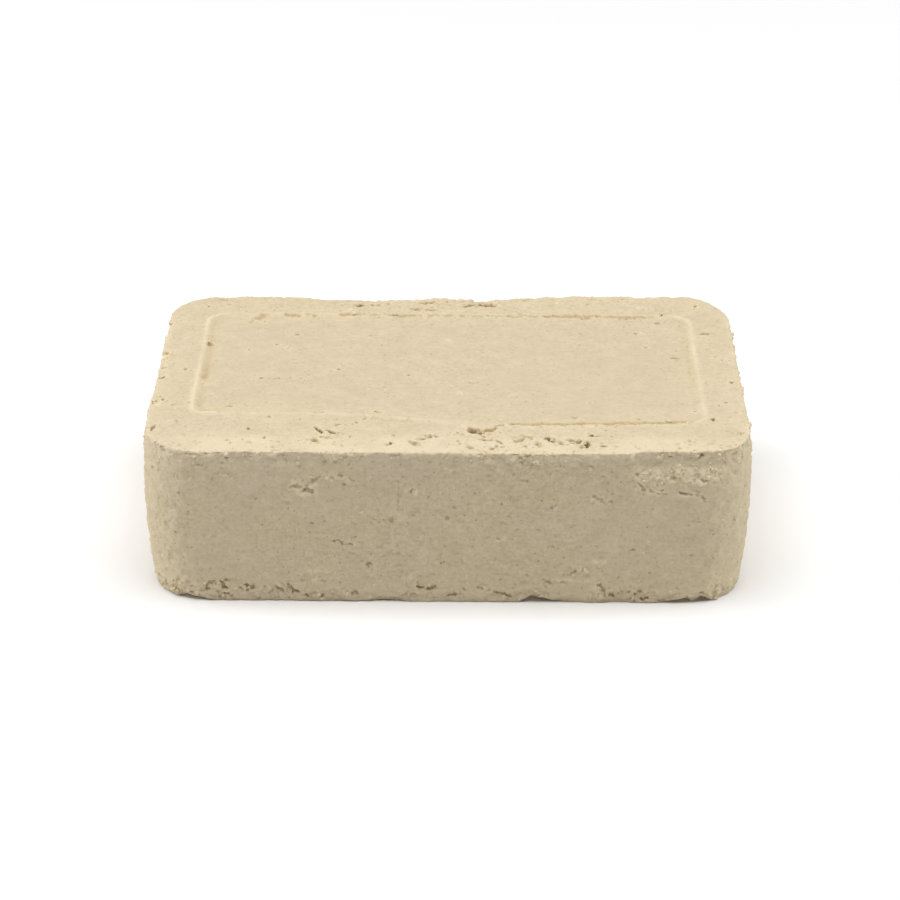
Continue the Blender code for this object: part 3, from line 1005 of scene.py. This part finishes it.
def stuck_crumbs(skin, count):
    """Crumbs half sunk in the skin, thick where it crumbles, joined into one mesh."""
    random = np.random.default_rng(20)
    reachable = skin.crumbly * (skin.at[:, 2] > 0.5 * MM) * (1 - skin.base)
    reachable *= 0.75 + 0.25 * (skin.normal[:, 1] < -0.6)
    chance = reachable**1.5
    seeds = list(random.choice(len(skin.at), count, replace=False, p=chance / chance.sum()))
    sizes = list((0.35 + 0.8 * random.random(count) ** 2.2) * MM)
    for place, size in placed_crumbs():
        seeds.append(int(((skin.at - np.array(place) * MM) ** 2).sum(axis=1).argmin()))
        sizes.append(size * MM)
    shapes = [lump(seed) for seed in range(300, 308)]
    points, faces, pale = [], [], []
    filled = 0
    for number, (seed, size) in enumerate(zip(seeds, sizes)):
        shape, shape_faces = shapes[number % len(shapes)]
        stretch = 0.7 + 0.6 * random.random(3)
        turn, _ = np.linalg.qr(random.normal(size=(3, 3)))
        if np.linalg.det(turn) < 0:
            turn[:, 0] *= -1
        centre = skin.at[seed] - skin.normal[seed] * size * (0.15 + 0.2 * random.random())
        points.append(shape * stretch * size @ turn.T + centre)
        faces.append(shape_faces + filled)
        filled += len(shape)
        pale.append(np.full(len(shape), 0.1 + 0.7 * random.random()))
    points = inside_the_box(np.concatenate(points))
    mesh = bpy.data.meshes.new("halva_crumbs")
    mesh.from_pydata(points.tolist(), [], np.concatenate(faces).tolist())
    mesh.shade_smooth()
    pale = np.concatenate(pale)
    write_shares(mesh, {"pale": pale, "rough": np.full(len(pale), 0.6)})
    return added("halva_crumbs", mesh)


# ---------------------------------------- material
def halva_material():
    """Cream sesame paste: soft mottling, drawn-out grain, painted brown shade in the crevices, pale on
    crumbs and painted highlight on rims and ridges.
    """
    material = bpy.data.materials.new("sesame_halva")
    material.use_nodes = True
    nodes = material.node_tree.nodes
    links = material.node_tree.links
    shader = nodes["Principled BSDF"]
    place = nodes.new("ShaderNodeTexCoord")

    def stretched(scale):
        mapping = nodes.new("ShaderNodeMapping")
        mapping.inputs["Scale"].default_value = scale
        links.new(place.outputs["Object"], mapping.inputs["Vector"])
        return mapping.outputs["Vector"]

    def noise(scale, detail=3.0, rough=0.6):
        made = nodes.new("ShaderNodeTexNoise")
        made.inputs["Scale"].default_value = 1.0
        made.inputs["Detail"].default_value = detail
        made.inputs["Roughness"].default_value = rough
        links.new(stretched(scale), made.inputs["Vector"])
        return made.outputs["Fac"]

    def span(value, start, end, to_start=0.0, to_end=1.0):
        made = nodes.new("ShaderNodeMapRange")
        made.inputs["From Min"].default_value = start
        made.inputs["From Max"].default_value = end
        made.inputs["To Min"].default_value = to_start
        made.inputs["To Max"].default_value = to_end
        links.new(value, made.inputs["Value"])
        return made.outputs["Result"]

    def mixed(share, colour_a, colour_b):
        made = nodes.new("ShaderNodeMix")
        made.data_type = "RGBA"
        links.new(share, made.inputs["Factor"])
        sockets = [socket for socket in made.inputs if socket.type == "RGBA"]
        for socket, colour in zip(sockets, (colour_a, colour_b)):
            if isinstance(colour, tuple):
                socket.default_value = (*colour, 1.0)
            else:
                links.new(colour, socket)
        return next(socket for socket in made.outputs if socket.type == "RGBA")

    def painted(name):
        made = nodes.new("ShaderNodeAttribute")
        made.attribute_type = "GEOMETRY"
        made.attribute_name = name
        return made.outputs["Fac"]

    def times(value_a, value_b):
        made = nodes.new("ShaderNodeMath")
        made.operation = "MULTIPLY"
        links.new(value_a, made.inputs[0])
        links.new(value_b, made.inputs[1])
        return made.outputs["Value"]

    cream = (0.642, 0.540, 0.376)
    yellow_cream = (0.647, 0.540, 0.358)
    pressed_cream = (0.620, 0.518, 0.360)
    dull_cream = (0.500, 0.415, 0.270)
    light_cream = (0.740, 0.640, 0.470)
    # pale flecks and crumbs, and the colour of painted highlight
    pale_crumb_and_highlight = (0.810, 0.698, 0.492)
    # random stains, and the colour of painted warm shade in hollows
    orange_shade_and_stain = (0.555, 0.400, 0.195)
    # the specks' own colour, and the colour of painted shade in hollows
    brown = (0.150, 0.090, 0.032)

    rough = painted("rough")
    meal = noise((950, 1200, 1200), 3.0, 0.6)
    blotches = noise((230, 300, 300), 2.0, 0.6)
    flecks = noise((900, 1000, 1000), 2.0, 0.5)
    specks = noise((800, 950, 950), 1.0, 0.5)
    colour = mixed(span(noise((40, 60, 60)), 0.35, 0.65), cream, yellow_cream)
    colour = mixed(painted("pressed"), colour, pressed_cream)
    colour = mixed(span(blotches, 0.50, 0.70, 0.0, 0.22), colour, dull_cream)
    colour = mixed(span(blotches, 0.48, 0.30, 0.0, 0.22), colour, light_cream)
    colour = mixed(times(span(meal, 0.50, 0.72, 0.0, 0.6), rough), colour, dull_cream)
    colour = mixed(times(span(meal, 0.46, 0.26, 0.0, 0.6), rough), colour, light_cream)
    colour = mixed(span(flecks, 0.62, 0.74, 0.0, 0.8), colour, dull_cream)
    colour = mixed(times(span(specks, 0.68, 0.76, 0.0, 0.5), rough), colour, brown)
    colour = mixed(times(span(flecks, 0.34, 0.24), rough), colour, pale_crumb_and_highlight)
    # pale: the crumbs' own paleness, and painted highlight on the lip, ridges and rims
    colour = mixed(span(painted("pale"), 0.0, 1.0, 0.0, 0.92), colour, pale_crumb_and_highlight)
    # warm: random stains, and painted warm shade in cracks, pores, gaps and the groove
    colour = mixed(span(painted("warm"), 0.0, 1.0, 0.0, 0.85), colour, orange_shade_and_stain)
    # painted shade: brown in crevices, pores, gaps and the groove
    colour = mixed(span(painted("hollow_shade"), 0.05, 1.0, 0.0, 0.9), colour, brown)
    links.new(colour, shader.inputs["Base Color"])

    fine = noise((1250, 1500, 1500), 4.0, 0.65)
    bump = nodes.new("ShaderNodeBump")
    bump.inputs["Strength"].default_value = 0.7
    bump.inputs["Distance"].default_value = 0.26 * MM
    links.new(fine, bump.inputs["Height"])
    links.new(bump.outputs["Normal"], shader.inputs["Normal"])

    links.new(span(fine, 0.3, 0.7, 0.66, 0.82), shader.inputs["Roughness"])
    shader.inputs["Specular IOR Level"].default_value = 0.3
    return material


# ---------------------------------------- the set
def make_floor():
    mesh = bpy.data.meshes.new("floor")
    shell = bmesh.new()
    bmesh.ops.create_grid(shell, x_segments=1, y_segments=1, size=4.0)
    shell.to_mesh(mesh)
    shell.free()
    material = bpy.data.materials.new("pale_floor")
    material.use_nodes = True
    shader = material.node_tree.nodes["Principled BSDF"]
    shader.inputs["Base Color"].default_value = (0.90, 0.90, 0.90, 1.0)
    shader.inputs["Roughness"].default_value = 0.9
    shader.inputs["Specular IOR Level"].default_value = 0.1
    mesh.materials.append(material)
    added("floor", mesh)


def area_light(name, place, aim, size, power):
    data = bpy.data.lights.new(name, "AREA")
    data.shape = "RECTANGLE"
    data.size, data.size_y = size
    data.energy = power
    light = added(name, data)
    light.location = place
    light.rotation_euler = (Vector(aim) - Vector(place)).to_track_quat("-Z", "Y").to_euler()


def make_light():
    world = bpy.data.worlds.new("studio")
    bpy.context.scene.world = world
    world.use_nodes = True
    background = world.node_tree.nodes["Background"]
    background.inputs["Color"].default_value = (1.0, 1.0, 1.0, 1.0)
    background.inputs["Strength"].default_value = 0.09
    area_light("overhead", (0.0, -0.12, 1.6), (0.0, 0.0, 0.0), (1.7, 1.2), 28.7)
    area_light("left", (-0.9, 0.05, 0.35), (0.0, 0.0, 0.02), (0.5, 0.5), 4.0)
    area_light("right", (0.9, 0.05, 0.35), (0.0, 0.0, 0.02), (0.5, 0.5), 3.0)


VIEW_ELEVATION = math.radians(29.6)
VIEW_TURN = math.radians(0.23)
VIEW_ROLL = math.radians(0.26)
VIEW_DISTANCE = 0.853
VIEW_AIM = Vector((0.6 * MM, -30.3 * MM, 36.7 * MM))  # the point at the picture's centre
FOCAL_LENGTH = 141.7  # on a 36 mm sensor


def make_camera():
    data = bpy.data.cameras.new("camera")
    data.sensor_width = 36.0
    data.lens = FOCAL_LENGTH
    data.clip_start = 0.05
    data.clip_end = 10.0
    camera = added("camera", data)
    back = Vector((
        math.sin(VIEW_TURN) * math.cos(VIEW_ELEVATION),
        -math.cos(VIEW_TURN) * math.cos(VIEW_ELEVATION),
        math.sin(VIEW_ELEVATION),
    ))
    camera.location = VIEW_AIM + back * VIEW_DISTANCE
    camera.rotation_euler = (-back).to_track_quat("-Z", "Y").to_euler()
    camera.rotation_euler.rotate_axis("Z", VIEW_ROLL)
    bpy.context.scene.camera = camera


# ---------------------------------------- build
skin = halva_skin()
halva = skin.piece
crumbs = stuck_crumbs(skin, CRUMBS)
thin_out(skin)
paste = halva_material()
for piece in (halva, crumbs):
    piece.data.materials.clear()
    piece.data.materials.append(paste)
    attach(piece, BODY)
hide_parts(NODE)
make_floor()
make_light()
make_camera()
bpy.context.scene.view_settings.view_transform = "Standard"
